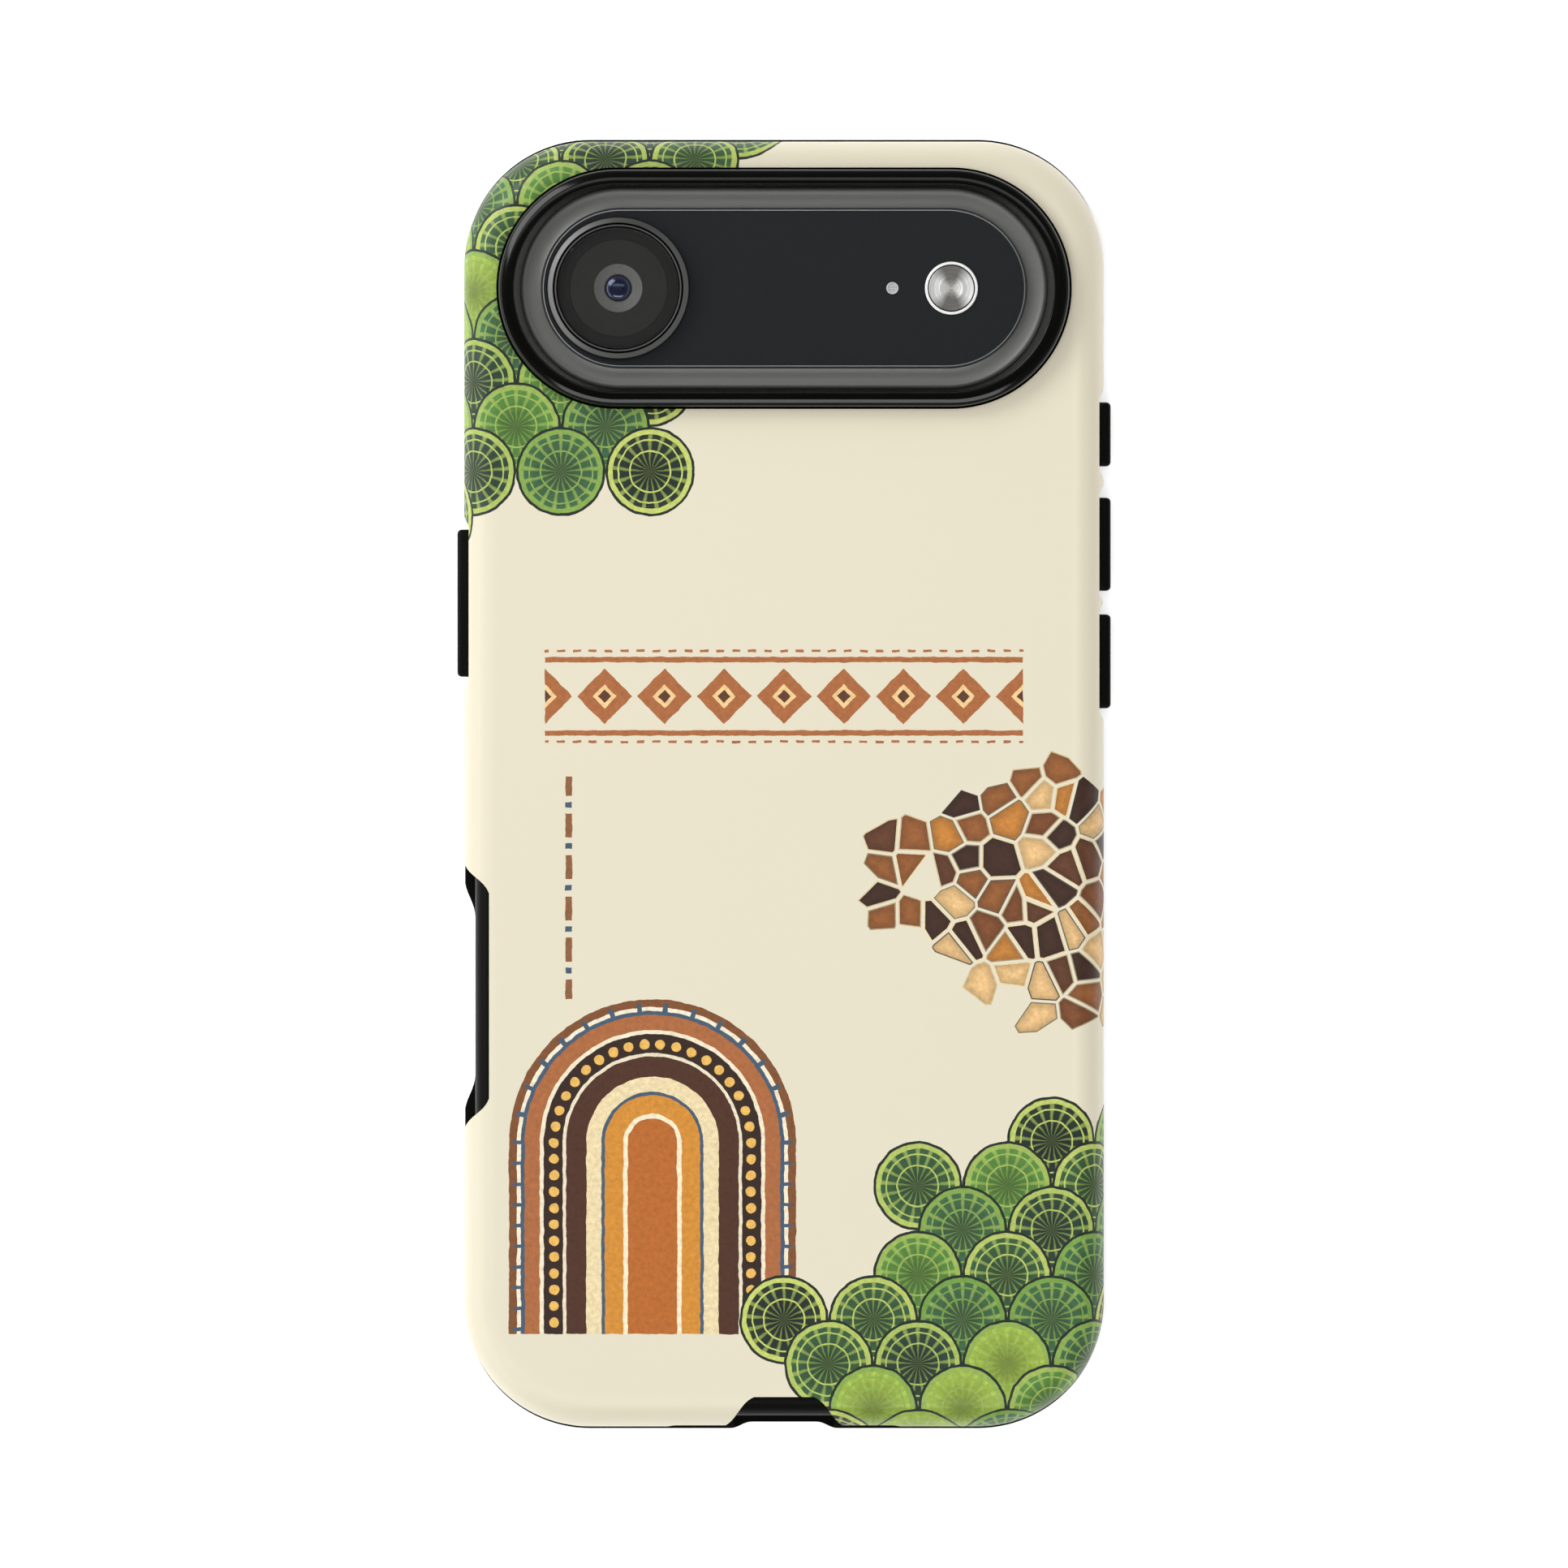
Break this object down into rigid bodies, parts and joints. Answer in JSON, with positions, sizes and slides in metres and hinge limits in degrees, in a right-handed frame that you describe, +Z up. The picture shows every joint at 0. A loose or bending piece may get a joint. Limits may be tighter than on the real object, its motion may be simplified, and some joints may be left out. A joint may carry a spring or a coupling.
{
  "type": "phone in a printed protective case",
  "caption": "Slim phone in a two-layer protective case: black rubber liner with raised camera rim and button pads, cream hard shell with a printed back, camera bar showing.",
  "frame": {"origin": "middle of the surface that the case lies on, screen side down", "axes": "+X across the phone to the side with the volume buttons, +Y along the phone towards the camera end, +Z up out of the case's back"},
  "size_m": [0.082, 0.1618, 0.0125],
  "materials": {
    "shell_plastic": "satin cream with a printed pattern",
    "liner_rubber": "satin black",
    "frame_metal": "satin",
    "back_glass": "matt graphite, opaque",
    "screen_glass": "polished black, opaque",
    "bar_glass": "fine matt black, opaque",
    "lens_metal": "polished dark grey",
    "lens_glass": "polished",
    "barrel_plastic": "matt black",
    "element_glass": "coated, with a blue sheen",
    "bright_metal": "polished",
    "reflector": "turned",
    "mesh_metal": "fine mesh"
  },
  "bodies": {
    "root": {"shell": "shell_plastic", "liner": "liner_rubber", "phone_frame": "frame_metal", "phone_control": "lens_metal", "phone_screen": "screen_glass", "phone_back": "back_glass", "camera_bar": "bar_glass", "lens_ring": "lens_metal", "lens_cover": "lens_glass", "lens_barrel": "barrel_plastic", "lens_element": "element_glass", "flash_rim": "bright_metal", "flash_lens": "reflector", "microphone": "mesh_metal"}
  },
  "joints": []
}
